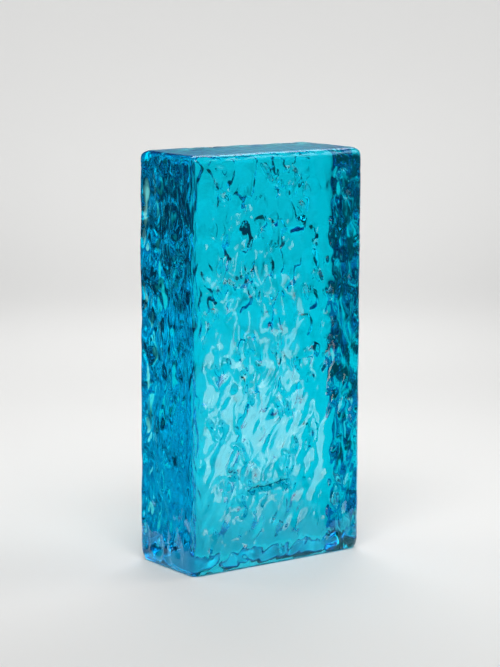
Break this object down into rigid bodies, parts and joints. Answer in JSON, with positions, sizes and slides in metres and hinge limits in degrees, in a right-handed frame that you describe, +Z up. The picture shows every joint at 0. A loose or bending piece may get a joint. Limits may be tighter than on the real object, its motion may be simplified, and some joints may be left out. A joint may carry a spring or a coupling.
{
  "type": "solid glass brick",
  "caption": "Solid cast-glass building brick with rippled walls, rounded edges and a flat ground base, stood on its small end.",
  "frame": {"origin": "middle of the ground base, on the surface the brick stands on", "axes": "+Z up the brick's length, +X across its broad face, +Y through its thickness"},
  "size_m": [0.104, 0.0496, 0.2003],
  "materials": {
    "glass": "fire-polished clear cast glass, tinted cyan through its whole depth, with a hammered, rippled surface on the four walls"
  },
  "bodies": {
    "root": {"glass_brick": "glass"}
  },
  "joints": []
}
